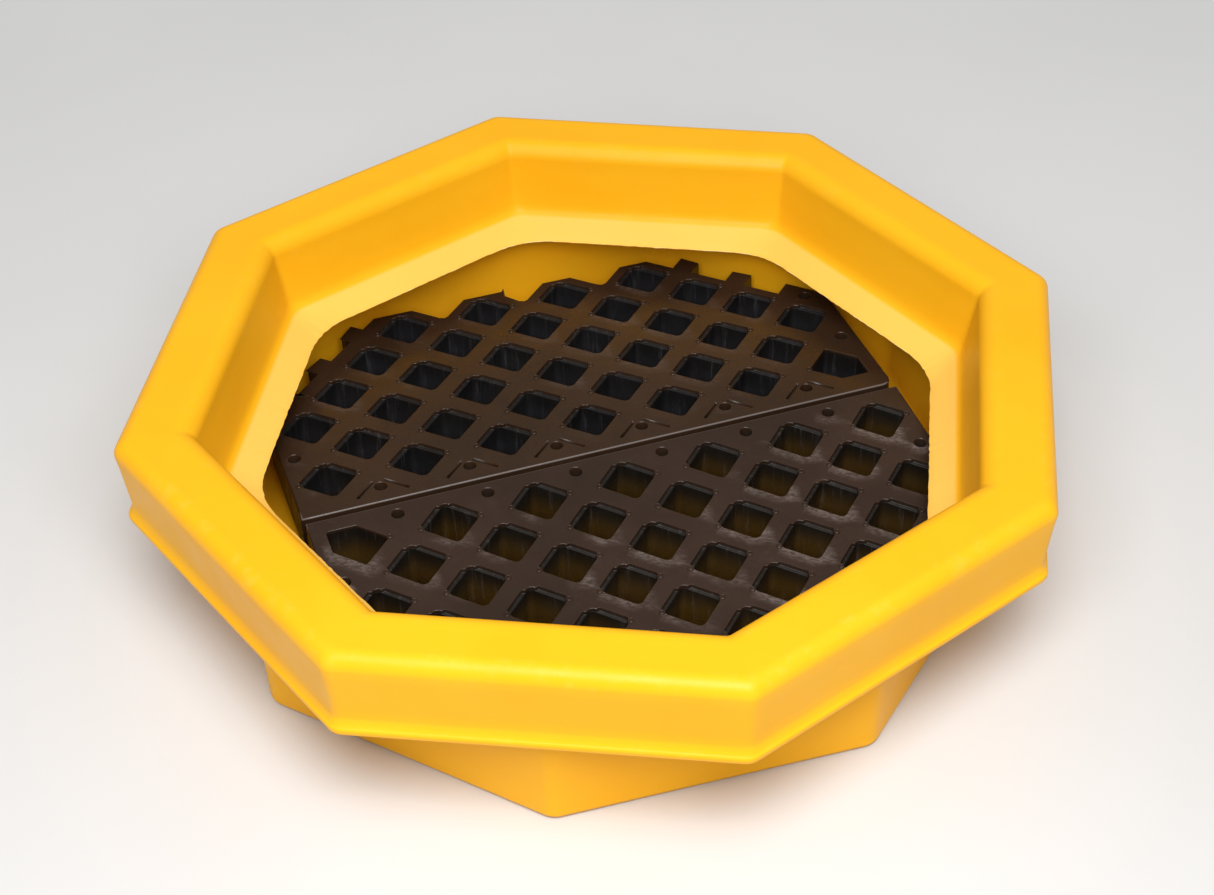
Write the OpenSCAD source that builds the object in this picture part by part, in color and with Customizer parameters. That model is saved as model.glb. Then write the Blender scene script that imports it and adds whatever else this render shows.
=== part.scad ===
// Spill containment tray: one hollow octagonal moulding with an inward splash lip,
// and two lattice grate halves that stand on its sump floor.
// The octagonal rim has flats facing +X and +Y. Z is up, and Z = 0 is the ground.

/* [Tray] */
// Width across the flats of the rim, at the top of its outer wall
rim_w = 900; // [860:10:1120]
// Overall height
tray_h = 230; // [210:5:290]
// Thickness of the moulded skin
skin = 5; // [4:0.5:7]
// Width across the flats of the base, measured at the ground
base_w = 766; // [746:10:816]
// Height of the underside of the rim above the ground
rim_under = 132; // [126:2:144]
// How far each base wall leans out over its height
base_draft = 6; // [2:1:10]
// Radius between the floor and the base walls
base_round = 8; // [7:1:14]
// How far the outer rim wall leans in over its height
rim_draft = 6.5; // [3:0.5:10]
// Radius along the outer top edge of the rim
outer_round = 16; // [10:1:22]
// How far the lower bead stands out past the foot of the rim wall
bead_out = 4.5; // [3:0.5:7]
// Height of the lower bead
bead_h = 9; // [7:1:12]

/* [Splash lip] */
// Width across the flats of the recess, where its wall meets the rim top
recess_w = 752; // [740:4:780]
// Radius along the inner top edge of the rim
inner_round = 20; // [12:1:24]
// How far the recess wall leans in over its height
recess_draft = 10; // [6:1:16]
// Height above the ground where the recess wall turns into the lip
crease_z = 154; // [152:1:160]
// Width across the flats of the trimmed opening
opening_w = 664; // [650:2:690]
// Diameter that trims the corners of the opening
opening_corner_d = 704; // [700:2:712]

/* [Grates] */
// Pitch of the lattice cells
pitch = 66.5; // [64:0.5:68]
// Side of the square hole through each cell
cell = 43; // [38:0.5:45]
// Corner radius of that hole
cell_round = 6; // [4:0.5:8]
// Depth of the lattice walls
deck_depth = 55; // [45:1:60]
// Height of the walking surface above the ground at the rear half's seam edge
deck_top = 104; // [98:0.5:110]
// How much lower the front half's seam edge lies
front_drop = 1.6; // [0:0.2:8]
// Slope of the rear half down from the seam, in degrees
rear_slope = 2.2; // [0:0.1:2.8]
// Slope of the front half down from the seam, in degrees
front_slope = 2.5; // [0:0.1:2.8]
// How far the rear half lies along the seam
rear_shift = 1.5; // [0:0.5:3]
// How far the front half lies along the seam
front_shift = 7.5; // [0:0.5:10]
// Turn of the seam away from the X axis, in degrees
seam_turn = 25.9; // [22:0.1:29]
// Gap between the top edges of the two halves along the seam
seam_gap = 5.2; // [5:0.1:7]
// How much the saw took off the front half's seam edge
front_trim = 8.4; // [0:0.2:12]
// Distance of the first row of cells from the seam edge
first_row = 54; // [50:0.5:56]
// Distance from the middle of the seam to the plain end of a half
end_plain = 326; // [324:1:330]
// Distance from the middle of the seam to the open end of a half
end_open = 322; // [318:1:326]
// Distance from the seam to the far sawn edge
far_edge = 323.5; // [318:0.5:326]
// Width of the shallow step along the two rearward sides of each hole
step_w = 3.5; // [2:0.5:4]
// Depth of that step
step_depth = 4.5; // [3:0.5:8]
// Length of that step
step_l = 32; // [24:1:32]
// How far the step lies towards the left or right corner of its hole
step_shift = 2.3; // [0:0.1:2.3]
// Diameter of the round holes in the solid webs
web_hole_d = 13; // [10:0.5:16]
// Distance of those holes from the seam edge
web_hole_y = 24.5; // [22:0.5:27]
// Diameter of the grip rings beside the cells
nub_d = 6; // [5:0.5:7]
// Bore of the grip rings
nub_bore = 3; // [2:0.5:4]
// Height of the grip rings
nub_h = 1.25; // [1:0.25:2]
// Side of the square legs under the lattice crossings
leg_w = 20; // [16:1:22]
// Clearance between the legs and the sump floor
leg_gap = 0.3; // [0.2:0.1:0.5]

/* [Hidden] */

EPS = 0.01;
ARC_STEPS = 6;          // straight runs in a quarter arc of the tray's profile
SIDES = 8;
SIDE_TURN = 360 / SIDES;
HALF_TURN = SIDE_TURN / 2;
ROOT2 = sqrt(2);

TRAY_COLOUR = [0.98, 0.74, 0.13];
GRATE_COLOUR = [0.16, 0.12, 0.10];

rim_r = rim_w / 2;
base_r = base_w / 2;
recess_r = recess_w / 2;
opening_r = opening_w / 2;
bead_face = rim_r - rim_draft + bead_out;
bead_soft = bead_h / 2;
lip_top = rim_under;                        // upper surface of the lip at the trimmed edge
lip_slope_r = recess_r - recess_draft;      // where the recess wall ends and the lip starts
lip_soft = 8;                               // length of the eased corner between the two
lip_fall = 1.2;                             // drop of the lip's underside for each unit of skin
bead_fade = 1.6;                            // height over which the bead runs out, for its depth
base_arc_steps = 4;
bead_arc_steps = 3;

// ---------- profiles: half widths against height ----------

// Points of an arc about c, from angle a to angle b
function arc(c, r, a, b, n = ARC_STEPS) =
    [for (i = [0:n]) c + r * [cos(a + (b - a) * i / n), sin(a + (b - a) * i / n)]];

// The outer rim wall with its bead, drawn in by t
function rim_side(t) = concat(
    arc([bead_face - bead_soft, rim_under + bead_soft], bead_soft - min(t, bead_soft - 1), -90, 0,
        bead_arc_steps),
    [[bead_face - t, rim_under + bead_h],
     [rim_r - rim_draft - t, rim_under + bead_h + bead_out * bead_fade]],
    arc([rim_r - outer_round, tray_h - outer_round], outer_round - t, 0, 90));

// The base wall with its floor radius, drawn in by t
function base_side(t) = concat(
    arc([base_r - base_round, base_round], base_round - t, -90, 0, base_arc_steps),
    [[base_r + base_draft - t, rim_under + skin + EPS]]);

// The recess and the lip, moved into the skin by t
function recess_side(t) = concat(
    [[opening_r, lip_top - t * lip_fall],
     [lip_slope_r - lip_soft + t / 2, crease_z - lip_soft - t],
     [lip_slope_r + t, crease_z + lip_soft / 2]],
    arc([recess_r + inner_round, tray_h - inner_round], inner_round - t, 180, 90));

// A solid of eight equal sides whose half width at each height follows the side's points
module eight_sided(side, turn = 0) {
    top = side[len(side) - 1][1];
    low = side[0][1];
    outline = concat([[0, low]], side, [[0, top]]);
    mirrored = [for (i = [len(outline) - 1:-1:0]) [-outline[i][0], outline[i][1]]];
    long = 2 * rim_w;
    intersection_for (k = [0:SIDES / 2 - 1])
        rotate([0, 0, turn + k * SIDE_TURN])
            translate([0, long / 2, 0])
                rotate([90, 0, 0])
                    linear_extrude(height = long)
                        polygon(concat(outline, mirrored));
}

module opening(low, high) {
    intersection() {
        eight_sided([[opening_r, low], [opening_r, high]]);
        translate([0, 0, low])
            cylinder(d = opening_corner_d, h = high - low, $fn = 96);
    }
}

module rim_hollow() {
    difference() {
        eight_sided(rim_hollow_side());
        eight_sided(recess_side(skin));
    }
}

// The hollow of the rim starts a skin above the underside
function rim_hollow_side() = concat([[bead_face - bead_h, rim_under + skin]],
    [for (p = rim_side(skin)) if (p[1] > rim_under + skin) p]);

module tray() {
    color(TRAY_COLOUR)
        difference() {
            union() {
                eight_sided(rim_side(0));
                eight_sided(base_side(0), HALF_TURN);
            }
            rim_hollow();
            eight_sided(base_side(skin), HALF_TURN);
            eight_sided(recess_side(0));
            opening(rim_under - 2 * skin, tray_h + 1);
        }
}

// ---------- grates, drawn with the seam along X and the half reaching to +Y ----------

half_diag = pitch / ROOT2;
function row_y(j) = first_row + j * half_diag;
function at(i, j) = [i * half_diag, row_y(j)];

// Whole cells: row j holds every second place i from -span to span, as far as the ends have room
ROW_SPAN = [6, 5, 6, 5, 4, 3];
nub_clear = 0.4;                // from a cell corner to its grip ring
nub_reach = (cell / 2 - cell_round) * ROOT2 + cell_round + nub_d / 2 + nub_clear;
cell_room = nub_reach + nub_d / 2;
function has_room(c) = c[0] + cell_room < end_plain && c[0] - cell_room > -end_open;
CELLS = [for (j = [0:len(ROW_SPAN) - 1], i = [-ROW_SPAN[j]:2:ROW_SPAN[j]])
    if (!(j == 0 && i == ROW_SPAN[0]) && has_room(at(i, j))) at(i, j)];
END_CELL = at(ROW_SPAN[0], 0);
WEB_CELLS = [for (i = [-5:2:5]) at(i, -1)];
OPEN_HOLE_IN = 14;              // from the open end to its round hole
END_HOLE_IN = 17;               // the two round holes in the plain end's web
UPPER_HOLE_IN = [24, 5];
WEB_HOLES = concat([for (i = [-5:2:5]) [i * half_diag, web_hole_y]],
    [[OPEN_HOLE_IN - end_open, row_y(1)], [end_plain - END_HOLE_IN, row_y(1)],
     [end_plain, row_y(3)] - UPPER_HOLE_IN]);
NOTCHES = [for (i = [-2:2:2]) at(i, 6)];
LEGS = concat([for (i = [-5, -1, 1, 5]) at(i, 0)], [for (i = [-3, 3]) at(i, 2)],
    [for (i = [-4, 0, 4]) at(i, 3)], [for (i = [-2, 2]) at(i, 5)]);

// Diagonal reach of the whole cells, and of the sawn edges past them
cell_reach = at(3, 5)[0] + at(3, 5)[1];
bar = pitch - cell;
plain_bar = cell / 2 + 14.5;                // middle of the last cells to the sawn plain side
open_bar = cell / 2 + 22.5;
stub_l = 22;                                // how far the crossbars stand past the plain side
open_stub_l = 12;
plain_reach = cell_reach + plain_bar * ROOT2;
open_reach = cell_reach + open_bar * ROOT2;
stub_reach_plain = plain_reach + stub_l * ROOT2;
stub_reach_open = open_reach + open_stub_l * ROOT2;
STUB_MIDS = [for (k = [0:2]) [(3.5 + k) * half_diag, row_y(4.5 - k)]];
end_wall = 16.5;                            // from the plain end to the five-sided cell
end_drop = 27;                              // from the middle of that cell to its side by the seam
end_round = 12;
notch_w = pitch - 6;
web_rise = [10, 50];                        // run of the corner web's inner edge
web_side = 26;                              // length of its outer edge along X
web_in = 44;                                // from the plain end to its inner corner
groove_l = 30;

module cell_hole(c, side, r) {
    translate(c)
        rotate(SIDE_TURN)
            union() {
                square([side, side - 2 * r], center = true);
                square([side - 2 * r, side], center = true);
                for (x = [-1, 1], y = [-1, 1])
                    translate([x * (side / 2 - r), y * (side / 2 - r)])
                        circle(r = r, $fn = 24);
            }
}

// The two steps of a hole, on its upper sides before the turn
module step_hole(c, turn) {
    translate(c)
        rotate(turn)
            for (side = [-1, 1])
                rotate(2 * SIDE_TURN - side * SIDE_TURN)
                    translate([0, -side * step_shift - step_l / 2])
                        square([cell / 2 + step_w, step_l]);
}

// The part of the half that is kept: a long seam side, two ends, two diagonals and a far edge
module core_outline(trim) {
    difference() {
        polygon([[-end_open, trim], [end_plain, trim], [end_plain, plain_reach - end_plain],
            [plain_reach - far_edge, far_edge], [far_edge - open_reach, far_edge],
            [-end_open, open_reach - end_open]]);
        for (c = NOTCHES)
            translate(c)
                rotate(SIDE_TURN)
                    square(notch_w, center = true);
        translate([end_plain - end_round, 0])
            difference() {
                square([end_round + 1, end_round]);
                translate([0, end_round])
                    circle(r = end_round, $fn = 48);
            }
    }
}

// Ends of the crossbars that the saw left standing past the outer bars
module stubs() {
    for (m = STUB_MIDS) {
        plain_l = (stub_reach_plain - (m[0] + m[1])) / ROOT2;
        open_l = (stub_reach_open - (m[0] + m[1])) / ROOT2;
        translate(m)
            rotate(SIDE_TURN)
                translate([0, -bar / 2])
                    square([plain_l, bar]);
        translate([-m[0], m[1]])
            rotate(3 * SIDE_TURN)
                translate([0, -bar / 2])
                    square([open_l, bar]);
    }
}

// Solid corner web at the plain end
module end_web() {
    top = stub_reach_plain - end_plain;
    inner = [end_plain - web_in, row_y(2)];
    polygon([inner, inner + web_rise, [end_plain - web_side, top + web_side],
        [end_plain, top], [end_plain, row_y(1)]]);
}

module half_outline(trim) {
    intersection() {
        union() {
            core_outline(trim);
            stubs();
            end_web();
        }
        translate([-end_open, 0])
            square([end_open + end_plain, 2 * far_edge]);
    }
}

// An outline with each of its corners replaced by an arc
function rounded(points, r, n = 4) = let (count = len(points)) [
    for (i = [0:count - 1])
        let (
            here = points[i],
            back = points[(i + count - 1) % count] - here,
            ahead = points[(i + 1) % count] - here,
            u = back / norm(back),
            w = ahead / norm(ahead),
            half = acos(u * w) / 2,
            centre = here + (u + w) / norm(u + w) * r / sin(half),
            start = here + u * r / tan(half) - centre,
            sweep = 180 - 2 * half,
            first = atan2(start[1], start[0]))
        for (k = [0:n]) centre + r * [cos(first + sweep * k / n), sin(first + sweep * k / n)]];

// The end cell has one side along the plain end and one along the seam, so it has five sides
module end_cell() {
    diag = cell / ROOT2;
    wide = end_plain - end_wall - END_CELL[0];
    if (wide > 0)
        translate(END_CELL)
            polygon(rounded([[-diag, 0], [end_drop - diag, -end_drop], [wide, -end_drop],
                [wide, max(diag - wide, 0)], [min(wide, 0), diag]], cell_round / 2));
}

module through_holes() {
    for (c = CELLS)
        cell_hole(c, cell, cell_round);
    end_cell();
    for (c = WEB_HOLES)
        translate(c)
            circle(d = web_hole_d, $fn = 32);
}

module step_holes(turn) {
    for (c = CELLS)
        step_hole(c, turn);
}

// Shallow grooves along the two inner sides of each closed cell beside the seam
module web_grooves() {
    for (c = WEB_CELLS, turn = [SIDE_TURN, 3 * SIDE_TURN])
        translate(c)
            rotate(turn)
                translate([cell / 2, -groove_l / 2])
                    square([step_w, groove_l]);
}

// Low rings at the left and right corner of every whole cell
module nubs() {
    for (c = CELLS, side = [-1, 1])
        translate([c[0] + side * nub_reach, c[1], -EPS])
            linear_extrude(height = nub_h + EPS)
                difference() {
                    circle(d = nub_d, $fn = 24);
                    circle(d = nub_bore, $fn = 24);
                }
}

// One lattice half with its walking surface at Z = 0, its seam edge sawn back by the trim
module deck(front) {
    trim = trim_of(front);
    union() {
        translate([0, 0, -deck_depth])
            linear_extrude(height = deck_depth - step_depth)
                difference() {
                    half_outline(trim);
                    through_holes();
                }
        translate([0, 0, -step_depth])
            linear_extrude(height = step_depth)
                difference() {
                    half_outline(trim);
                    through_holes();
                    step_holes(front ? 180 : 0);
                    if (!front)
                        web_grooves();
                }
        nubs();
    }
}

// Square posts from the sump floor up to the sloping underside of a half
module legs(trim, under, slope) {
    height = under - skin - leg_gap;
    reach = 2 * rim_w;
    intersection() {
        union() {
            for (c = LEGS)
                translate([c[0], c[1] - trim, -height / 2])
                    rotate([0, 0, SIDE_TURN])
                        cube([leg_w, leg_w, height], center = true);
        }
        rotate([-slope, 0, 0])
            translate([-reach / 2, -reach / 2, -reach])
                cube([reach, reach, reach]);
    }
}

function slope_of(front) = front ? front_slope : rear_slope;
function trim_of(front) = front ? front_trim : 0;
function top_of(front) = deck_top - (front ? front_drop : 0);

// Puts a half in the tray: the front half is the same moulding turned half round
module placed(front, z) {
    rotate([0, 0, seam_turn])
        translate([front ? front_shift : rear_shift, (front ? -1 : 1) * seam_gap / 2, z])
            rotate([0, 0, front ? 180 : 0])
                children();
}

module grate(front) {
    color(GRATE_COLOUR)
        placed(front, top_of(front))
            rotate([-slope_of(front), 0, 0])
                translate([0, -trim_of(front), 0])
                    deck(front);
}

module leg_set(front) {
    under = top_of(front) - deck_depth / cos(slope_of(front));
    color(GRATE_COLOUR)
        placed(front, under)
            legs(trim_of(front), under, slope_of(front));
}

module rear_grate() { grate(false); }
module rear_legs() { leg_set(false); }
module front_grate() { grate(true); }
module front_legs() { leg_set(true); }

tray();
rear_grate();
rear_legs();
front_grate();
front_legs();
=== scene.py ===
"""Spill containment pallet: a hollow octagonal tray with a trimmed splash lip, and two
lattice grate halves that stand on its sump floor. Lengths are in millimetres until a
mesh is made; Z is up and the ground is Z = 0."""
import math

import bmesh
import bpy
import numpy as np
from mathutils import Matrix, Vector, noise


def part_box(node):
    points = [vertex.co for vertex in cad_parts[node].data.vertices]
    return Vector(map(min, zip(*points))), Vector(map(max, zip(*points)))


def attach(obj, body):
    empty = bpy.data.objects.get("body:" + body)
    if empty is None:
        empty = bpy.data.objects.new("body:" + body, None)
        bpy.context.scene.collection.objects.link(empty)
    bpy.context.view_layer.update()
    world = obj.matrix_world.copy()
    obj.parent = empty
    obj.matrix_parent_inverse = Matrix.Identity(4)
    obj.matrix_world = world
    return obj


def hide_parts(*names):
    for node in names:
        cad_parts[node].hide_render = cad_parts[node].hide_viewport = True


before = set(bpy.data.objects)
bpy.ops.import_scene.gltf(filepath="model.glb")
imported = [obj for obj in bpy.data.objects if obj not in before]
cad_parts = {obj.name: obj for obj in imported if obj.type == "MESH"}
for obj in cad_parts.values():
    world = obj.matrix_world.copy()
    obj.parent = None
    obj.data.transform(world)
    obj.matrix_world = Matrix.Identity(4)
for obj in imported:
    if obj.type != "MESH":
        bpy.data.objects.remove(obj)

MM = 0.001
ROOT2 = math.sqrt(2)
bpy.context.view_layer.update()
TRAY_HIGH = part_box("tray")[1]

# ---------- driving sizes, the same as the CAD part's ----------

RIM_R = TRAY_HIGH[0] / MM            # half width across the flats of the rim
TRAY_H = TRAY_HIGH[2] / MM
SKIN = 5.0
RIM_UNDER = 132.0
BASE_R = 383.0
BASE_DRAFT = 5.0
RIM_DRAFT = 6.5
OUTER_ROUND = 16.0
INNER_ROUND = 20.0
RECESS_R = 376.0
RECESS_DRAFT = 10.0
CREASE_Z = 154.0
OPENING_R = 332.0
LIP_Z = RIM_UNDER + 1.0
LIP_EDGE = 1.5                       # thickness left at the trimmed edge

SEAM_TURN = math.radians(25.9)
SEAM_GAP = 5.2
PITCH = 66.5
HALF_DIAG = PITCH / ROOT2
CELL = 43.0
FIRST_ROW = 54.0
END_PLAIN = 326.0
END_OPEN = 322.0
FAR_EDGE = 323.5
DECK_TOP = 104.0
DECK_DEPTH = 55.0
FRONT_DROP = 1.6
REAR_SLOPE = math.radians(2.2)
FRONT_SLOPE = math.radians(2.5)
REAR_SHIFT = 1.5
FRONT_SHIFT = 7.5
FRONT_TRIM = 8.4
WEB_HOLE_Y = 24.5
WEB_HOLE_R = 6.5
OPEN_HOLE_IN = 14.0                  # from the open end to its round hole
END_HOLE_IN = 17.0                   # from the plain end to the lower hole of its web
UPPER_HOLE_IN = (24.0, 5.0)          # the upper one: from the plain end, and below the row
END_WALL = 16.5                      # from the plain end to the five-sided cell

SIDES = 8
SIDE_TURN = 2 * math.pi / SIDES
HALF_TURN = SIDE_TURN / 2
SEED = Vector((3.1, 7.7, 1.3))


# ---------- small helpers ----------

def arc(cx, cz, radius, start, stop, steps):
    """Points of an arc in the profile plane, angles in degrees."""
    angles = np.radians(np.linspace(start, stop, steps + 1))
    return [(cx + radius * math.cos(a), cz + radius * math.sin(a)) for a in angles]


def ripple(values, scale, seed):
    """Smooth noise along a closed ring of polar angles, about -1 to 1."""
    spots = [Vector((math.cos(a) * scale, math.sin(a) * scale, seed)) for a in values]
    return np.array([noise.noise(SEED + spot) for spot in spots])


def new_object(name, verts, faces, body, floats=None):
    """A mesh object in metres from points in millimetres, riding on a body."""
    mesh = bpy.data.meshes.new(name)
    mesh.from_pydata([tuple(MM * c for c in v) for v in verts], [], faces)
    mesh.validate()
    for key, data in (floats or {}).items():
        layer = mesh.attributes.new(key, "FLOAT", "POINT")
        layer.data.foreach_set("value", np.asarray(data, dtype=np.float32))
    obj = bpy.data.objects.new(name, mesh)
    bpy.context.scene.collection.objects.link(obj)
    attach(obj, body)
    return obj


# ---------- the tray ----------

STEPS_PER_HALF_SIDE = 36
LIP_PALE = 0.32           # value of "cut" that marks the paler lip
CROWDING = 0.86           # how far the polar steps crowd towards the corners


def polar_angles():
    """Polar angles of a ring, crowded where the rim and the base have their corners."""
    t = np.arange(STEPS_PER_HALF_SIDE) / STEPS_PER_HALF_SIDE
    inside = HALF_TURN * (t - CROWDING * np.sin(2 * math.pi * t) / (2 * math.pi))
    return np.concatenate([k * HALF_TURN + inside for k in range(2 * SIDES)])


THETA = polar_angles()


def eight(apothem, corner, turn=0.0):
    """Polar radius of an eight-sided outline with rounded corners, at every THETA."""
    from_flat = (THETA - turn + HALF_TURN) % SIDE_TURN - HALF_TURN
    from_corner = HALF_TURN - np.abs(from_flat)
    straight = apothem / np.cos(from_flat)
    centre = (apothem - corner) / math.cos(HALF_TURN)
    meets = math.atan((apothem - corner) * math.tan(HALF_TURN) / apothem)
    reach = np.sqrt(np.maximum(corner ** 2 - (centre * np.sin(from_corner)) ** 2, 0.0))
    rounded = centre * np.cos(from_corner) + reach
    return np.where(np.abs(from_flat) > meets, rounded, straight)


def opening_edge(back):
    """The hand-trimmed edge of the opening, moved back from it by a distance."""
    wander = 1.1 * ripple(THETA, 2.3, 0.0) + 0.45 * ripple(THETA, 14.0, 5.0)
    nicks = 0.9 * ripple(THETA, 60.0, 9.0)
    return eight(OPENING_R + back, 90.0) + wander + nicks


def tray_rings():
    """Rings of the whole skin: (radii, heights, worn, cut), top side first, inside last."""
    rings = []
    sway = ripple(THETA, 1.6, 21.0)
    recess_foot = RECESS_R - RECESS_DRAFT
    wall_high, wall_low = 214.0, 152.0         # the flat stretch of the outer wall
    bead_round, bead_low_round = 4.0, 5.0
    under_round = 8.0                          # between the rim's underside and the base wall
    base_high, base_low = 122.0, 8.0           # the flat stretch of the base wall
    floor_round = 8.0
    sump_round = 12.0
    floor_radii = (6.0, 80.0, 200.0, 340.0)

    def add(radii, z, worn=0.0, cut=0.0):
        rings.append((radii, z + 0.0 * THETA, worn, cut))

    edge_z = LIP_Z + 0.5 * ripple(THETA, 3.0, 2.0)
    foot = eight(recess_foot - 9.0, 34.0)
    foot_z = CREASE_Z - 7.0
    # the cut face, then the lip rising to the crease
    add(opening_edge(0.5), edge_z - LIP_EDGE, 0.0, 1.0)
    add(opening_edge(0.0), edge_z - LIP_EDGE + 0.4, 0.0, 1.0)
    add(opening_edge(0.0), edge_z - 0.5, 0.0, 1.0)
    add(opening_edge(0.3), edge_z, 0.0, 0.8)
    add(opening_edge(1.2), edge_z + 0.3, 0.0, 0.2)
    for t in (0.1, 0.25, 0.45, 0.65, 0.82, 0.93, 1.0):
        blend = opening_edge(0.0) * (1 - t) + foot * t
        add(blend, edge_z * (1 - t) + foot_z * t, 0.0, LIP_PALE)
    # the eased corner and the recess wall
    add(eight(recess_foot - 4.5, 30.0), CREASE_Z - 4.2)
    add(eight(recess_foot - 1.6, 24.0), CREASE_Z + 0.3)
    add(eight(recess_foot + 0.2, 18.0), CREASE_Z + 6.0)
    add(eight(recess_foot + 3.6, 12.0) + 0.5 * sway, CREASE_Z + 24.0)
    add(eight(recess_foot + 7.0, 10.0) + 0.5 * sway, CREASE_Z + 42.0)
    for x, z in arc(RECESS_R + INNER_ROUND, TRAY_H - INNER_ROUND, INNER_ROUND, 180, 92, 10):
        add(eight(x, 9.0), z, worn=0.5)
    # the rim top with a slight crown, then the outer corner
    flat_in, flat_out = RECESS_R + INNER_ROUND, RIM_R - OUTER_ROUND
    for t in (0.15, 0.4, 0.65, 0.9):
        add(eight(flat_in * (1 - t) + flat_out * t, 12.0), TRAY_H - 0.3 + 0.25 * sway)
    for x, z in arc(RIM_R - OUTER_ROUND - 0.4, TRAY_H - OUTER_ROUND, OUTER_ROUND, 86, 0, 10):
        add(eight(x, 16.0), z, worn=1.0)
    # the outer wall and its bead
    foot_r = RIM_R - RIM_DRAFT
    for t in (0.2, 0.5, 0.8, 1.0):
        bow = -0.5 + 0.45 * sway * math.sin(math.pi * t)
        add(eight(RIM_R - 0.3 - RIM_DRAFT * t, 17.0) + bow,
            wall_high - (wall_high - wall_low) * t)
    add(eight(foot_r - 0.3, 17.0), 149.0)
    add(eight(foot_r + 0.8, 17.0), 146.4)
    for x, z in arc(foot_r + 0.4, RIM_UNDER + 6.5, bead_round, 62, -10, 6):
        add(eight(x, 18.0), z, worn=0.8)
    for x, z in arc(foot_r - 0.6, RIM_UNDER + bead_low_round, bead_low_round, -12, -90, 6):
        add(eight(x, 18.0), z, worn=0.6)
    # the underside of the rim, in to the base wall
    under = eight(foot_r - 2.0, 18.0)
    wall_top = eight(BASE_R + BASE_DRAFT + 9.0, 34.0, HALF_TURN)
    for t in (0.05, 0.35, 0.7, 1.0):
        add(under * (1 - t) + wall_top * t, RIM_UNDER + 0.4 * t)
    for x, z in arc(BASE_R + BASE_DRAFT + under_round - 0.2, RIM_UNDER - under_round,
                    under_round, 105, 180, 5):
        add(eight(x, 30.0, HALF_TURN), z)
    for t in (0.15, 0.4, 0.65, 0.9, 1.0):
        bow = -0.6 * math.sin(math.pi * t) + 0.5 * sway * math.sin(math.pi * t)
        add(eight(BASE_R + BASE_DRAFT * (1 - t) - 0.2, 24.0, HALF_TURN) + bow,
            base_high - (base_high - base_low) * t)
    for x, z in arc(BASE_R - floor_round, floor_round, floor_round - 0.2, -8, -90, 6):
        add(eight(x, 22.0, HALF_TURN), z - 0.2, worn=0.5)
    for radius in reversed(floor_radii):
        add(eight(radius, 5.0 + radius * 0.06, HALF_TURN), 0.1)
    outside = rings
    # the inside of the skin, from the sump floor back up to the cut face
    rings = []
    for radius in floor_radii:
        add(eight(radius, 5.0 + radius * 0.06, HALF_TURN), SKIN)
    for x, z in arc(BASE_R - SKIN - sump_round, SKIN + sump_round, sump_round, -90, 0, 6):
        add(eight(x, 22.0, HALF_TURN), z)
    for t in (0.3, 0.6, 1.0):
        add(eight(BASE_R - SKIN + BASE_DRAFT * t, 24.0, HALF_TURN), 22.0 + 105.0 * t)
    for x, z in arc(BASE_R - SKIN + BASE_DRAFT + under_round, RIM_UNDER + SKIN - under_round,
                    under_round, 180, 95, 5):
        add(eight(x, 30.0, HALF_TURN), z)
    inner_foot = eight(foot_r - SKIN - 6.0, 30.0)
    wall_top = eight(BASE_R - SKIN + BASE_DRAFT + 10.0, 34.0, HALF_TURN)
    for t in (0.1, 0.5, 1.0):
        add(wall_top * (1 - t) + inner_foot * t, RIM_UNDER + SKIN)
    add(eight(foot_r - SKIN, 26.0), RIM_UNDER + SKIN + 5.0)
    add(eight(RIM_R - SKIN - 0.6, 26.0), 212.0)
    for x, z in arc(RIM_R - OUTER_ROUND, TRAY_H - OUTER_ROUND, OUTER_ROUND - SKIN, 0, 90, 6):
        add(eight(x, 26.0), z)
    for x, z in arc(RECESS_R + INNER_ROUND, TRAY_H - INNER_ROUND, INNER_ROUND - SKIN, 90, 180, 6):
        add(eight(x, 40.0), z)
    add(eight(recess_foot + SKIN + 0.4, 44.0), CREASE_Z + 5.0)
    add(eight(recess_foot + 1.5, 46.0), CREASE_Z - 7.0)
    foot = eight(recess_foot - 6.0, 46.0)
    for t in (0.0, 0.4, 0.8):
        blend = foot * (1 - t) + opening_edge(3.0) * t
        add(blend, (foot_z - SKIN - 1.0) * (1 - t) + (edge_z - LIP_EDGE - 1.0) * t)
    add(opening_edge(1.6), edge_z - LIP_EDGE - 0.4, 0.0, 0.6)
    return outside + rings


def tray():
    rings = tray_rings()
    count = len(THETA)
    cosines, sines = np.cos(THETA), np.sin(THETA)
    verts, worn, cut = [], [], []
    for radii, heights, wear, fresh in rings:
        verts += list(zip(radii * cosines, radii * sines, heights))
        worn += [wear] * count
        cut += [fresh] * count
    faces = []
    total = len(rings)
    small = 10.0                          # rings under this radius are the floor's middles
    for r in range(total):
        a, b = r * count, ((r + 1) % total) * count
        if rings[r][0][0] < small and rings[(r + 1) % total][0][0] < small:
            continue                      # the two middles of the floor are closed below
        for i in range(count):
            j = (i + 1) % count
            faces.append((a + i, b + i, b + j, a + j))
    middles = [r for r in range(total) if rings[r][0][0] < small]
    faces.append(tuple(middles[0] * count + i for i in range(count)))
    faces.append(tuple(middles[1] * count + i for i in reversed(range(count))))
    obj = new_object("tray_moulding", verts, faces, "tray",
                     {"worn": worn, "cut": cut})
    for poly in obj.data.polygons:
        poly.use_smooth = True
    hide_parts("tray")
    return obj


# ---------- the grates, drawn with the seam along X and the half reaching to +Y ----------

ROW_SPAN = (6, 5, 6, 5, 4, 3)
BAR = PITCH - CELL
CELL_ROUND = 6.0
STEP_W = 3.5
STEP_DEPTH = 4.5
STEP_HALF = 16.0
STEP_SHIFT = 2.3           # how far a step lies towards the left or right corner
EDGE = 1.1                 # radius eased onto the edges
SHARP = 0.35               # the same on the edges that the mould leaves crisp


def cell_at(i, j):
    return np.array([i * HALF_DIAG, FIRST_ROW + j * HALF_DIAG])


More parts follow.
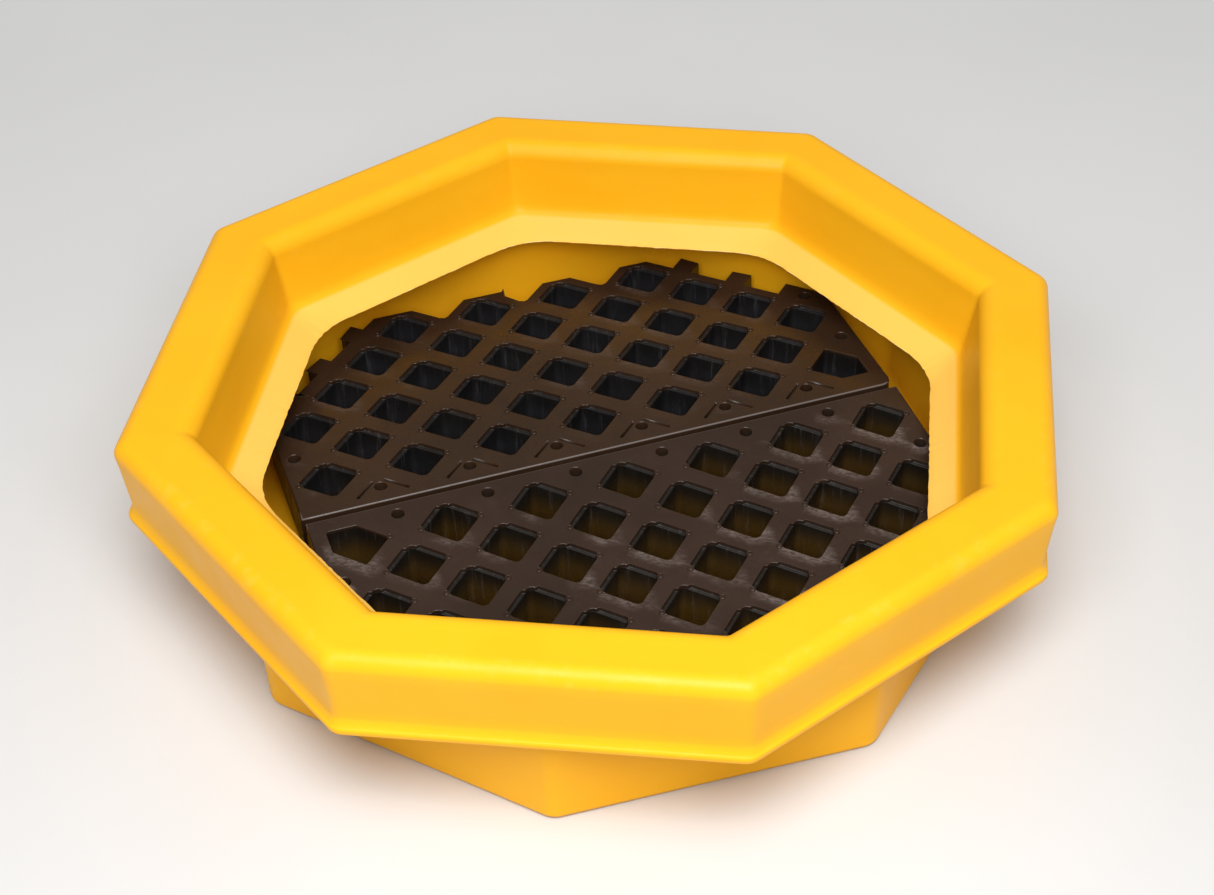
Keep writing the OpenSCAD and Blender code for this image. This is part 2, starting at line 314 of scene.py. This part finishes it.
PLAIN_CELLS = [(i, j) for j, span in enumerate(ROW_SPAN) for i in range(-span, span + 1, 2)]

# from the middle of the last cells to the sawn sides, and how far the stubs stand past them
PLAIN_BAR, OPEN_BAR = CELL / 2 + 14.5, CELL / 2 + 22.5
PLAIN_STUB, OPEN_STUB = 22.0, 12.0

REACH = cell_at(3, 5).sum()
PLAIN_REACH = REACH + PLAIN_BAR * ROOT2
OPEN_REACH = REACH + OPEN_BAR * ROOT2
STUB_PLAIN = REACH + (PLAIN_BAR + PLAIN_STUB) * ROOT2
STUB_OPEN = REACH + (OPEN_BAR + OPEN_STUB) * ROOT2


def hole_loop(stepped):
    """A cell's outline about its centre, with how far each point is on one of its two steps."""
    centre = CELL / 2 - CELL_ROUND
    # the step's rounded end: places along the side, and how far each one is on the step
    ends = ((STEP_HALF + 1.1, 0.0), (STEP_HALF + 0.3, 0.3), (STEP_HALF - 0.4, 0.8),
            (STEP_HALF - 1.4, 1.0))
    shifts = (-STEP_SHIFT, STEP_SHIFT, 0.0, 0.0)
    spots = [(-v, w) for v, w in ends] + [(v, 1.0) for v in (-9.0, -3.0, 3.0, 9.0)]
    spots += [(v, w) for v, w in reversed(ends)]
    points, weights = [], []
    for side in range(4):
        turn = math.pi / 4 + side * math.pi / 2
        shift = shifts[side]
        run = []
        for v, on_step in spots:
            v += shift
            on_step = on_step if side < 2 else 0.0
            past = min(max(abs(v) - centre, 0.0), CELL_ROUND)
            u = centre + math.sqrt(CELL_ROUND ** 2 - past ** 2)
            if stepped:
                u += (CELL / 2 + STEP_W - u) * on_step
            run.append((u, v))
            weights.append(on_step)
        after = shifts[(side + 1) % 4]
        start = math.asin(min((spots[-1][0] + shift - centre) / CELL_ROUND, 0.98))
        stop = math.asin(min((spots[-1][0] - after - centre) / CELL_ROUND, 0.98))
        for t in (0.2, 0.4, 0.6, 0.8):
            angle = start * (1 - t) + (math.pi / 2 - stop) * t
            run.append((centre + CELL_ROUND * math.cos(angle), centre + CELL_ROUND * math.sin(angle)))
            weights.append(0.0)
        points += [(u * math.cos(turn) - v * math.sin(turn), u * math.sin(turn) + v * math.cos(turn))
                   for u, v in run]
    return np.array(points), np.array(weights)


def rounded(points, radius, steps=6):
    """A counter-clockwise outline with each of its corners replaced by an arc."""
    result = []
    for i, here in enumerate(points):
        here = np.array(here)
        back, ahead = points[i - 1] - here, points[(i + 1) % len(points)] - here
        back, ahead = back / np.linalg.norm(back), ahead / np.linalg.norm(ahead)
        half = math.acos(back @ ahead) / 2
        centre = here + (back + ahead) / np.linalg.norm(back + ahead) * radius / math.sin(half)
        start = here + back * radius / math.tan(half) - centre
        first = math.atan2(start[1], start[0])
        result += [centre + radius * np.array([math.cos(a), math.sin(a)])
                   for a in first + np.linspace(0, math.pi - 2 * half, steps)]
    return np.array(result)


PLAIN_LOOP, ON_STEP = hole_loop(False)
STEP_LOOP, _ = hole_loop(True)
END_WIDE = END_PLAIN - END_WALL - cell_at(ROW_SPAN[0], 0)[0]
END_DROP = 27.0            # from the middle of the end cell to its side along the seam
DIAG = CELL / ROOT2
END_LOOP = rounded([(-DIAG, 0.0), (END_DROP - DIAG, -END_DROP), (END_WIDE, -END_DROP),
                    (END_WIDE, DIAG - END_WIDE), (0.0, DIAG)], CELL_ROUND / 2)


def grown(loop, by):
    """A loop about its centre, pushed out by a distance along its own normals."""
    ahead, behind = np.roll(loop, -1, axis=0), np.roll(loop, 1, axis=0)
    along = ahead - behind
    normal = np.stack([along[:, 1], -along[:, 0]], axis=1)
    normal /= np.linalg.norm(normal, axis=1)[:, None]
    return loop + normal * np.reshape(by, (-1, 1))


# an eased edge: how far out and how far down, as shares of its radius
EASE = ((1.0, 0.0), (0.45, 0.12), (0.12, 0.45), (0.0, 1.0))


def eased(loop, radius):
    """The loops and heights of an eased edge at the walking surface."""
    return [(grown(loop, out * radius), -down * radius) for out, down in EASE]


def cell_levels(front):
    """Loops and heights down through one cell, from the walking surface to the underside."""
    step = ON_STEP
    levels = eased(STEP_LOOP, SHARP + (EDGE - SHARP) * (1 - step)) + [
        (STEP_LOOP, -STEP_DEPTH + 0.5),
        (grown(STEP_LOOP, -0.5 * step), -STEP_DEPTH),
        (grown(PLAIN_LOOP, EDGE * step), -STEP_DEPTH),
        (grown(PLAIN_LOOP, 0.4 * EDGE * step), -STEP_DEPTH - 0.15 * EDGE),
        (grown(PLAIN_LOOP, 0.1 * EDGE * step), -STEP_DEPTH - 0.5 * EDGE),
        (PLAIN_LOOP, -STEP_DEPTH - 1.2 * EDGE),
        (PLAIN_LOOP, -DECK_DEPTH / 2),
        (grown(PLAIN_LOOP, 0.6), -DECK_DEPTH + 1.0),
        (grown(PLAIN_LOOP, 1.4), -DECK_DEPTH),
    ]
    turn = -1.0 if front else 1.0
    return [(turn * loop, z) for loop, z in levels]


def round_levels(radius):
    """Loops and heights down through a round hole."""
    angles = np.linspace(0, 2 * math.pi, 32, endpoint=False)
    ring = np.stack([np.cos(angles), np.sin(angles)], axis=1)
    return [
        (ring * (radius + EDGE), 0.0),
        (ring * (radius + 0.3 * EDGE), -0.3 * EDGE),
        (ring * radius, -EDGE),
        (ring * radius, -DECK_DEPTH / 2),
        (ring * (radius + 1.0), -DECK_DEPTH),
    ]


def stub_points(centre, away, reach, tilt):
    """The sawn end of a crossbar that stands past the outer bar: away is +1 or -1 along X."""
    diagonal = np.array([away, 1.0]) / ROOT2
    across = np.array([-1.0, away]) / ROOT2 * away
    base = PLAIN_REACH if away > 0 else OPEN_REACH
    measure = centre[0] * away + centre[1]
    root = (base - measure) / ROOT2
    tip = (reach - measure) / ROOT2
    half = across * BAR / 2
    return [centre + diagonal * root - half,
            centre + diagonal * (tip - tilt) - half,
            centre + diagonal * (tip + tilt) + half,
            centre + diagonal * root + half]


# left by the saw at one notch, from the notch's left end
SPUR = np.array([(13.0, -9.5), (14.5, -2.0), (15.5, 6.0), (11.5, 0.4)])
NOTCH_SKEW = 6.0           # how much less than a pitch the saw took out of a notch
SEAM_CORNER = 12.0         # radius of the moulded corner where the seam meets the plain end
OUTLINE_STEP = 14.0        # longest run between two points of the outline
PLAIN_TILT, OPEN_TILT = 0.8, 0.9       # how far out of square the stubs were sawn


def half_outline(trim):
    """The sawn outline of one half, counter-clockwise from its seam edge."""
    points = [np.array([-END_OPEN, trim])]
    if trim:
        points.append(np.array([END_PLAIN, trim]))
    else:
        points += [np.array([END_PLAIN - SEAM_CORNER + SEAM_CORNER * math.sin(a),
                             SEAM_CORNER - SEAM_CORNER * math.cos(a)])
                   for a in np.linspace(0, math.pi / 2, 8)]
    points.append(np.array([END_PLAIN, STUB_PLAIN - END_PLAIN]))
    stubs = [stub_points(cell_at(3.5 + k, 4.5 - k), 1.0, STUB_PLAIN, PLAIN_TILT * (-1) ** k)
             for k in (2, 1, 0)]
    points += stubs[0][2:]
    for stub in stubs[1:]:
        points += stub
    points.append(np.array([PLAIN_REACH - FAR_EDGE, FAR_EDGE]))
    notch = (PITCH - NOTCH_SKEW) / ROOT2
    for i in (2, 0, -2):
        centre = cell_at(i, 6)
        wide = notch - (centre[1] - FAR_EDGE)
        low = centre[1] - notch
        points += [np.array([centre[0] + wide, FAR_EDGE]),
                   np.array([centre[0] + 4.0, low + 4.0]),
                   np.array([centre[0], low + 2.6]),
                   np.array([centre[0] - 5.0, low + 5.0]),
                   *(SPUR + np.array([centre[0] - wide, FAR_EDGE]) if i == 0 else []),
                   np.array([centre[0] - wide, FAR_EDGE])]
    points.append(np.array([FAR_EDGE - OPEN_REACH, FAR_EDGE]))
    for k in (0, 1, 2):
        points += stub_points(cell_at(-3.5 - k, 4.5 - k), -1.0, STUB_OPEN, OPEN_TILT * (-1) ** k)
    points.append(np.array([-END_OPEN, OPEN_REACH - END_OPEN]))
    return points


def divided(points, step):
    """A closed outline with extra points, so that no run is longer than the step."""
    result = []
    for here, there in zip(points, points[1:] + points[:1]):
        runs = max(1, int(np.linalg.norm(there - here) / step))
        result += [here + (there - here) * r / runs for r in range(runs)]
    return result


def drawn_in(loop, by):
    """A closed counter-clockwise outline moved inwards by a distance, corners kept."""
    ahead = np.roll(loop, -1, axis=0) - loop
    behind = loop - np.roll(loop, 1, axis=0)

    def inward(along):
        normal = np.stack([-along[:, 1], along[:, 0]], axis=1)
        return normal / np.linalg.norm(normal, axis=1)[:, None]

    a, b = inward(ahead), inward(behind)
    middle = a + b
    middle /= np.maximum((middle * a).sum(axis=1), 0.5)[:, None]
    return loop + middle * by


def outline_levels(trim):
    loop = np.array(divided(half_outline(trim), OUTLINE_STEP))
    return [
        (drawn_in(loop, 1.7), 0.0),
        (drawn_in(loop, 0.8), -0.25),
        (drawn_in(loop, 0.2), -0.9),
        (loop, -1.8),
        (loop, -DECK_DEPTH + 1.0),
        (drawn_in(loop, 0.8), -DECK_DEPTH),
    ]


END_LEVELS = eased(END_LOOP, EDGE) + [
    (END_LOOP, -STEP_DEPTH),
    (END_LOOP, -DECK_DEPTH / 2),
    (END_LOOP, -DECK_DEPTH),
]

GROOVE_HALF = 15.0
GROOVE_CORNERS = ((-STEP_W / 2, -GROOVE_HALF), (STEP_W / 2, -GROOVE_HALF),
                  (STEP_W / 2, GROOVE_HALF), (-STEP_W / 2, GROOVE_HALF))


def groove(bm, tops, deep, centre, turn):
    """A shallow straight groove in the web, beside the place of a cell that isn't cut out."""
    along = np.array([math.cos(turn), math.sin(turn)])
    across = np.array([-along[1], along[0]])
    middle = centre + along * (CELL / 2 + STEP_W / 2)
    rows = []
    for ease, z, shade in ((0.3, 0.0, 0.0), (0.0, -0.3, 0.0), (0.0, -STEP_DEPTH, 0.4)):
        row = []
        for u, v in GROOVE_CORNERS:
            out_u = u + math.copysign(ease, u)
            out_v = v + math.copysign(ease, v)
            spot = middle + along * out_u + across * out_v
            vert = bm.verts.new((spot[0], spot[1], z))
            vert[deep] = shade
            row.append(vert)
        rows.append(row)
    for upper, lower in zip(rows, rows[1:]):
        for k in range(4):
            n = (k + 1) % 4
            bm.faces.new((upper[k], upper[n], lower[n], lower[k]))
    bm.faces.new(rows[-1])
    for k in range(4):
        edge = bm.edges.get((rows[0][k], rows[0][(k + 1) % 4]))
        edge.smooth = False
        tops.append(edge)
    for k in range(4):
        bm.edges.get((rows[-1][k], rows[-1][(k + 1) % 4])).smooth = False


def lattice(front):
    """Vertices and faces of one half, its walking surface at Z = 0. The layer "deep" marks what
    light hardly reaches, "rubbed" the surface beside the near sides of the cells, and a third
    layer the rounded edge along the seam, which carries a painted highlight."""
    bm = bmesh.new()
    deep = bm.verts.layers.float.new("deep")
    rubbed = bm.verts.layers.float.new("rubbed")
    painted_seam_highlight = bm.verts.layers.float.new("painted_seam_highlight")
    seam_side = (FRONT_TRIM if front else 0.0) + 3.0
    near_turn = -math.pi / 2 - SEAM_TURN + (math.pi if front else 0.0)
    near = np.array([math.cos(near_turn), math.sin(near_turn)])
    tops, bottoms = [], []
    levels = cell_levels(front)

    def wall(levels, outward):
        """Joins the loops from top to bottom and keeps the rims for the two flat faces."""
        middle = levels[0][0].mean(axis=0)
        rows = [[bm.verts.new((p[0], p[1], h)) for p, h in zip(loop, z + np.zeros(len(loop)))]
                for loop, z in levels]
        if outward:
            # the seam edge's rounding is marked for a painted highlight
            for vert in rows[1] + rows[2]:
                vert[painted_seam_highlight] = 1.0 if vert.co.y < seam_side else 0.0
        for row, (loop, z) in zip(rows, levels):
            arms = loop - middle
            facing = arms @ near / np.maximum(np.linalg.norm(arms, axis=1), 1e-6)
            depths = z + np.zeros(len(loop))
            for vert, depth, toward in zip(row, depths, facing):
                # painted shade: the walls darken with depth below the walking surface
                vert[deep] = min(max((-depth - 1.7) / 3.0, 0.0), 1.0)
                vert[rubbed] = 0.0 if outward else min(max(1.6 * toward, 0.0), 1.0)
        for upper, lower in zip(rows, rows[1:]):
            for i in range(len(upper)):
                j = (i + 1) % len(upper)
                quad = (upper[i], lower[i], lower[j], upper[j])
                bm.faces.new(quad if outward else quad[::-1])
        for row, edges in ((rows[0], tops), (rows[-1], bottoms)):
            for i in range(len(row)):
                edge = bm.edges.get((row[i], row[(i + 1) % len(row)]))
                edge.smooth = False
                edges.append(edge)

    wall(outline_levels(FRONT_TRIM if front else 0.0), True)
    for i, j in PLAIN_CELLS:
        last = i == ROW_SPAN[0] and j == 0
        wall([(loop + cell_at(i, j), z) for loop, z in (END_LEVELS if last else levels)], False)
    web_holes = [np.array([i * HALF_DIAG, WEB_HOLE_Y]) for i in range(-5, 6, 2)]
    web_holes += [np.array([OPEN_HOLE_IN - END_OPEN, cell_at(0, 1)[1]]),
                  np.array([END_PLAIN - END_HOLE_IN, cell_at(0, 1)[1]]),
                  np.array([END_PLAIN, cell_at(0, 3)[1]]) - UPPER_HOLE_IN]
    for centre in web_holes:
        wall([(loop + centre, z) for loop, z in round_levels(WEB_HOLE_R)], False)
    if not front:
        for i in range(-5, 6, 2):
            for turn in (math.pi / 4, 3 * math.pi / 4):
                groove(bm, tops, deep, cell_at(i, -1), turn)
    for edges, up in ((tops, True), (bottoms, False)):
        filled = bmesh.ops.triangle_fill(bm, edges=edges, use_beauty=True)
        for face in filled["geom"]:
            if isinstance(face, bmesh.types.BMFace):
                face.normal_update()
                if (face.normal.z > 0) != up:
                    face.normal_flip()
    return bm


NUB_OUT = 3.4              # from a cell's corner to the middle of its nub
NUB_ROOM = 15.0            # a nub needs this much up to the plain end
NUB_STEPS = 16
NUB_PROFILE = ((3.6, -0.6), (3.4, 0.1), (3.1, 0.75), (2.6, 1.2), (2.2, 1.15), (1.9, 0.6),
               (1.7, -0.2), (1.6, -0.5))


def nub(bm, x, y):
    """A raised ring beside a cell corner, with a small blind hole in it."""
    rows = []
    deep = bm.verts.layers.float["deep"]
    for radius, z in NUB_PROFILE:
        rows.append([bm.verts.new((x + radius * math.cos(2 * math.pi * k / NUB_STEPS),
                                   y + radius * math.sin(2 * math.pi * k / NUB_STEPS), z))
                     for k in range(NUB_STEPS)])
    # the blind hole is painted as full shade
    for vert in rows[-1] + rows[-2]:
        vert[deep] = 1.0
    for lower, upper in zip(rows, rows[1:]):
        for k in range(NUB_STEPS):
            n = (k + 1) % NUB_STEPS
            bm.faces.new((lower[k], lower[n], upper[n], upper[k]))
    bm.faces.new(rows[-1])
    bm.faces.new(rows[0][::-1])


def grate(name, front):
    bm = lattice(front)
    reach = (CELL / 2 - CELL_ROUND) * ROOT2 + CELL_ROUND + NUB_OUT
    for i, j in PLAIN_CELLS:
        x, y = cell_at(i, j)
        for side in (-1, 1):
            if x + side * reach < END_PLAIN - NUB_ROOM:
                nub(bm, x + side * reach, y)
    for face in bm.faces:
        face.smooth = True
    shift = Matrix.Translation((FRONT_SHIFT if front else REAR_SHIFT,
                                -SEAM_GAP / 2 if front else SEAM_GAP / 2,
                                DECK_TOP - (FRONT_DROP if front else 0.0)))
    turn = Matrix.Rotation(math.pi if front else 0.0, 4, "Z")
    slope = Matrix.Rotation(-FRONT_SLOPE if front else -REAR_SLOPE, 4, "X")
    trim = Matrix.Translation((0.0, -FRONT_TRIM if front else 0.0, 0.0))
    bm.transform(Matrix.Rotation(SEAM_TURN, 4, "Z") @ shift @ turn @ slope @ trim)
    bm.transform(Matrix.Scale(MM, 4))
    mesh = bpy.data.meshes.new(name)
    bm.to_mesh(mesh)
    bm.free()
    obj = bpy.data.objects.new(name, mesh)
    bpy.context.scene.collection.objects.link(obj)
    side = "front" if front else "rear"
    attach(obj, side + "_half")
    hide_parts(side + "_grate")
    return obj


# ---------- materials ----------

class Nodes:
    """Short calls that add shader nodes and join them."""

    def __init__(self, name):
        self.material = bpy.data.materials.new(name)
        self.material.use_nodes = True
        self.tree = self.material.node_tree
        self.shader = self.tree.nodes["Principled BSDF"]
        self.place = self.tree.nodes.new("ShaderNodeTexCoord").outputs["Object"]

    def add(self, kind, **settings):
        node = self.tree.nodes.new("ShaderNode" + kind)
        for key, value in settings.items():
            setattr(node, key, value)
        return node

    def link(self, source, target):
        self.tree.links.new(source, target)

    def noise(self, scale, detail=3.0, roughness=0.5, stretch=None, distortion=0.0):
        """A noise; stretch holds the scale and the rotation of its space."""
        node = self.add("TexNoise")
        node.inputs["Scale"].default_value = scale
        node.inputs["Detail"].default_value = detail
        node.inputs["Roughness"].default_value = roughness
        node.inputs["Distortion"].default_value = distortion
        place = self.place
        if stretch:
            mapping = self.add("Mapping")
            mapping.inputs["Scale"].default_value = stretch[0]
            mapping.inputs["Rotation"].default_value = stretch[1]
            self.link(self.place, mapping.inputs["Vector"])
            place = mapping.outputs[0]
        self.link(place, node.inputs["Vector"])
        return node.outputs["Fac"]

    def ramp(self, source, low, high, out_low=0.0, out_high=1.0):
        node = self.add("MapRange")
        node.interpolation_type = "SMOOTHSTEP"
        for key, value in (("From Min", low), ("From Max", high),
                           ("To Min", out_low), ("To Max", out_high)):
            node.inputs[key].default_value = value
        self.link(source, node.inputs["Value"])
        return node.outputs["Result"]

    def math(self, operation, a, b=None):
        node = self.add("Math", operation=operation)
        for socket, value in zip(node.inputs, (a, b)):
            if value is None:
                continue
            if isinstance(value, (int, float)):
                socket.default_value = value
            else:
                self.link(value, socket)
        return node.outputs[0]

    def mix(self, factor, a, b):
        node = self.add("Mix", data_type="RGBA")
        sockets = [s for s in node.inputs if s.type == "RGBA"]
        for socket, value in zip(sockets, (a, b)):
            if isinstance(value, tuple):
                socket.default_value = (*value, 1.0)
            else:
                self.link(value, socket)
        self.link(factor, node.inputs["Factor"])
        return [s for s in node.outputs if s.type == "RGBA"][0]

    def attribute(self, name):
        node = self.add("Attribute", attribute_name=name)
        return node.outputs["Fac"]

    def bump(self, height, strength, distance, normal=None):
        node = self.add("Bump")
        node.inputs["Strength"].default_value = strength
        node.inputs["Distance"].default_value = distance
        self.link(height, node.inputs["Height"])
        if normal is not None:
            self.link(normal, node.inputs["Normal"])
        return node.outputs["Normal"]


def tray_plastic():
    """Rotationally moulded yellow polyethylene: satin, with a fine orange peel and light scuffs."""
    n = Nodes("tray_plastic")
    yellow, deep, pale = (0.92, 0.455, 0.011), (0.90, 0.425, 0.008), (0.95, 0.62, 0.16)
    cream = (0.93, 0.70, 0.28)
    cloud = n.ramp(n.noise(5.0, 4.0, 0.55), 0.35, 0.7)
    colour = n.mix(cloud, yellow, deep)
    scuffs = n.ramp(n.noise(26.0, 6.0, 0.7, ((1.0, 9.0, 3.0), (0.2, 0.1, 0.6))), 0.63, 0.72, 0.0, 0.12)
    worn = n.math("MULTIPLY", n.attribute("worn"), n.ramp(n.noise(60.0, 5.0, 0.7), 0.5, 0.75, 0.0, 0.12))
    pale_by = n.math("MAXIMUM", worn, n.math("MULTIPLY", scuffs, 0.5))
    colour = n.mix(pale_by, colour, pale)
    fibre = n.ramp(n.noise(500.0, 3.0, 0.6), 0.3, 0.7, 0.75, 1.0)
    broken = n.ramp(n.noise(34.0, 4.0, 0.65), 0.42, 0.6, 0.15, 1.0)
    lip = n.ramp(n.attribute("cut"), 0.0, LIP_PALE, 0.0, 0.3)
    edge = n.ramp(n.attribute("cut"), LIP_PALE + 0.1, 1.0)
    cut = n.math("MAXIMUM", lip, n.math("MULTIPLY", n.math("MULTIPLY", edge, fibre), broken))
    colour = n.mix(cut, colour, cream)
    n.link(colour, n.shader.inputs["Base Color"])
    rough = n.ramp(n.noise(18.0, 4.0, 0.6), 0.3, 0.75, 0.34, 0.46)
    rough = n.math("ADD", rough, n.math("MULTIPLY", pale_by, 0.25))
    n.link(n.math("ADD", rough, n.math("MULTIPLY", cut, 0.3)), n.shader.inputs["Roughness"])
    peel = n.bump(n.noise(260.0, 2.0, 0.5), 0.25, 0.0004)
    swell = n.bump(n.noise(22.0, 2.0, 0.5), 0.25, 0.002, peel)
    n.link(swell, n.shader.inputs["Normal"])
    n.shader.inputs["Specular IOR Level"].default_value = 0.16
    return n.material


REFLECTION_TOP, REFLECTION_LOW = 0.092, 0.058      # heights where the painted reflected light on the cell walls begins and is strongest
STREAK_WHITE = (0.55, 0.55, 0.6)
# colour of the painted highlight along the rounded seam edge
SEAM_HIGHLIGHT_COLOUR = (0.21, 0.185, 0.175)


def grate_plastic(name, tint, inner, painted_reflection, haze, haze_colour):
    """Moulded dark plastic with a semi gloss, rubbed pale beside the cells. The walls of the
    cells carry painted shade, darkest at the top, and further down painted reflected light;
    they have faint whitish streaks too. The rounded seam edge carries a painted highlight."""
    n = Nodes(name)
    dark, brown = tuple(0.7 * c for c in tint), tint
    colour = n.mix(n.ramp(n.noise(7.0, 4.0, 0.6), 0.3, 0.7), dark, brown)
    deep = n.attribute("deep")
    split = n.add("SeparateXYZ")
    n.link(n.place, split.inputs[0])
    # the wall shade colour holds at the top of the cell walls and gives way to painted reflected light
    # lower down
    down = n.ramp(split.outputs["Z"], REFLECTION_TOP, REFLECTION_LOW)
    colour = n.mix(deep, colour, n.mix(down, inner, painted_reflection))
    fibres = n.noise(170.0, 5.0, 0.7, ((1.0, 1.0, 0.07), (0.25, 0.12, 0.0)))
    streak = n.ramp(fibres, 0.54, 0.74, 0.0, 0.05)
    colour = n.mix(n.math("MULTIPLY", streak, deep), colour, STREAK_WHITE)
    patch = n.ramp(n.noise(6.5, 3.0, 0.6, distortion=0.6), 0.47, 0.66, 0.0, 1.0)
    grain = n.ramp(n.noise(150.0, 6.0, 0.75, ((1.0, 2.2, 1.0), (0.0, 0.0, 0.5))), 0.38, 0.66, 0.15, 1.0)
    band = n.ramp(n.attribute("rubbed"), 0.25, 0.95)
    rub = n.math("MULTIPLY", n.math("MULTIPLY", patch, band), n.math("MULTIPLY", grain, haze))
    fog = n.math("MULTIPLY", n.ramp(n.noise(60.0, 6.0, 0.75), 0.5, 0.75, 0.0, 0.1 * haze), patch)
    rub = n.math("MAXIMUM", rub, fog)
    rub = n.math("MULTIPLY", rub, n.math("SUBTRACT", 1.0, deep))
    colour = n.mix(rub, colour, haze_colour)
    # painted highlight on the rounded seam edge
    colour = n.mix(n.math("MULTIPLY", n.attribute("painted_seam_highlight"), 0.5), colour, SEAM_HIGHLIGHT_COLOUR)
    n.link(colour, n.shader.inputs["Base Color"])
    rough = n.ramp(n.noise(34.0, 5.0, 0.6), 0.3, 0.7, 0.26, 0.42)
    rough = n.math("ADD", rough, n.math("MULTIPLY", deep, 0.2))
    n.link(n.math("ADD", rough, n.math("MULTIPLY", rub, 0.3)), n.shader.inputs["Roughness"])
    grain_bump = n.bump(n.noise(420.0, 3.0, 0.6), 0.3, 0.0005)
    n.link(n.bump(n.noise(45.0, 3.0, 0.5), 0.35, 0.0015, grain_bump), n.shader.inputs["Normal"])
    n.shader.inputs["Specular IOR Level"].default_value = 0.3
    return n.material


# ---------- floor, light and camera ----------

FLOOR_SPAN = 9.0           # half the width of the floor, in metres
FLOOR_DROP = 0.0006        # how far the floor lies under the tray, in metres
FLOOR_GREYS = ((0.66, 0.66, 0.66), (0.64, 0.64, 0.635))
WORLD_COLOUR, WORLD_STRENGTH = (1.0, 0.99, 0.97, 1.0), 0.3
KEY_PLACE, KEY_TARGET = (0.15, -1.15, 1.35), (0.0, -0.1, 0.2)
KEY_SIZE, KEY_WATTS = (0.9, 0.7), 20.0
SUN_ENERGY, SUN_ANGLE = 1.85, math.radians(38)
SUN_AIM = Vector((-0.1, 0.4, -1.0))


def floor():
    mesh = bpy.data.meshes.new("floor")
    corners = ((-1, -1), (1, -1), (1, 1), (-1, 1))
    mesh.from_pydata([(x * FLOOR_SPAN, y * FLOOR_SPAN, 0.0) for x, y in corners],
                     [], [(0, 1, 2, 3)])
    obj = bpy.data.objects.new("floor", mesh)
    bpy.context.scene.collection.objects.link(obj)
    obj.location.z = -FLOOR_DROP
    n = Nodes("floor")
    n.link(n.mix(n.ramp(n.noise(2.0), 0.3, 0.7), *FLOOR_GREYS), n.shader.inputs["Base Color"])
    n.shader.inputs["Roughness"].default_value = 0.9
    n.shader.inputs["Specular IOR Level"].default_value = 0.1
    mesh.materials.append(n.material)


def softbox(name, place, target, size, watts):
    light = bpy.data.lights.new(name, "AREA")
    light.shape = "RECTANGLE"
    light.size, light.size_y = size
    light.energy = watts
    obj = bpy.data.objects.new(name, light)
    obj.location = place
    obj.rotation_euler = (Vector(target) - Vector(place)).to_track_quat("-Z", "Y").to_euler()
    bpy.context.scene.collection.objects.link(obj)


def studio():
    world = bpy.data.worlds.new("studio")
    world.use_nodes = True
    back = world.node_tree.nodes["Background"]
    back.inputs["Color"].default_value = WORLD_COLOUR
    back.inputs["Strength"].default_value = WORLD_STRENGTH
    bpy.context.scene.world = world
    softbox("key", KEY_PLACE, KEY_TARGET, KEY_SIZE, KEY_WATTS)
    sun = bpy.data.lights.new("wide_light", "SUN")
    sun.energy = SUN_ENERGY
    sun.angle = SUN_ANGLE
    obj = bpy.data.objects.new("wide_light", sun)
    obj.rotation_euler = SUN_AIM.to_track_quat("-Z", "Y").to_euler()
    bpy.context.scene.collection.objects.link(obj)


CAMERA_PLACE = (0.2539, -1.7521, 1.5790)
CAMERA_FORWARD = Vector((-0.0652, 0.7686, -0.6364))
CAMERA_ROLL = 0.0094
CAMERA_LENS = 65.66
CAMERA_SHIFT = (-0.0827, -0.0071)


def camera():
    data = bpy.data.cameras.new("camera")
    data.sensor_width = 36.0
    data.lens = CAMERA_LENS
    data.shift_x, data.shift_y = CAMERA_SHIFT
    obj = bpy.data.objects.new("camera", data)
    forward = CAMERA_FORWARD.normalized()
    right = forward.cross(Vector((0, 0, 1))).normalized()
    up = right.cross(forward)
    rolled_right = right * math.cos(CAMERA_ROLL) + up * math.sin(CAMERA_ROLL)
    rolled_up = up * math.cos(CAMERA_ROLL) - right * math.sin(CAMERA_ROLL)
    turn = Matrix((rolled_right, rolled_up, -forward)).transposed().to_4x4()
    obj.matrix_world = Matrix.Translation(CAMERA_PLACE) @ turn
    bpy.context.scene.collection.objects.link(obj)
    bpy.context.scene.camera = obj


# ---------- the scene ----------

camera()
studio()
floor()
bpy.context.scene.view_settings.view_transform = "Standard"

tray_mat = tray_plastic()
# the rear tint is warmer than the front's: dark brown plastic with a painted reflection of the yellow
# tray; in both calls the third colour is painted wall shade and the fourth painted reflected light
rear_mat = grate_plastic(
    "rear_grate_plastic", tint=(0.033, 0.016, 0.0075), inner=(0.0045, 0.004, 0.004),
    painted_reflection=(0.013, 0.013, 0.016), haze=0.25, haze_colour=(0.16, 0.13, 0.12))
front_mat = grate_plastic(
    "front_grate_plastic", tint=(0.033, 0.018, 0.0115), inner=(0.006, 0.0045, 0.003),
    painted_reflection=(0.050, 0.026, 0.004), haze=0.6, haze_colour=(0.21, 0.17, 0.155))
tray().data.materials.append(tray_mat)
grate("rear_lattice", False).data.materials.append(rear_mat)
grate("front_lattice", True).data.materials.append(front_mat)
for leg_node, leg_mat in (("rear_legs", rear_mat), ("front_legs", front_mat)):
    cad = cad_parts[leg_node]
    cad.data.materials.clear()
    cad.data.materials.append(leg_mat)
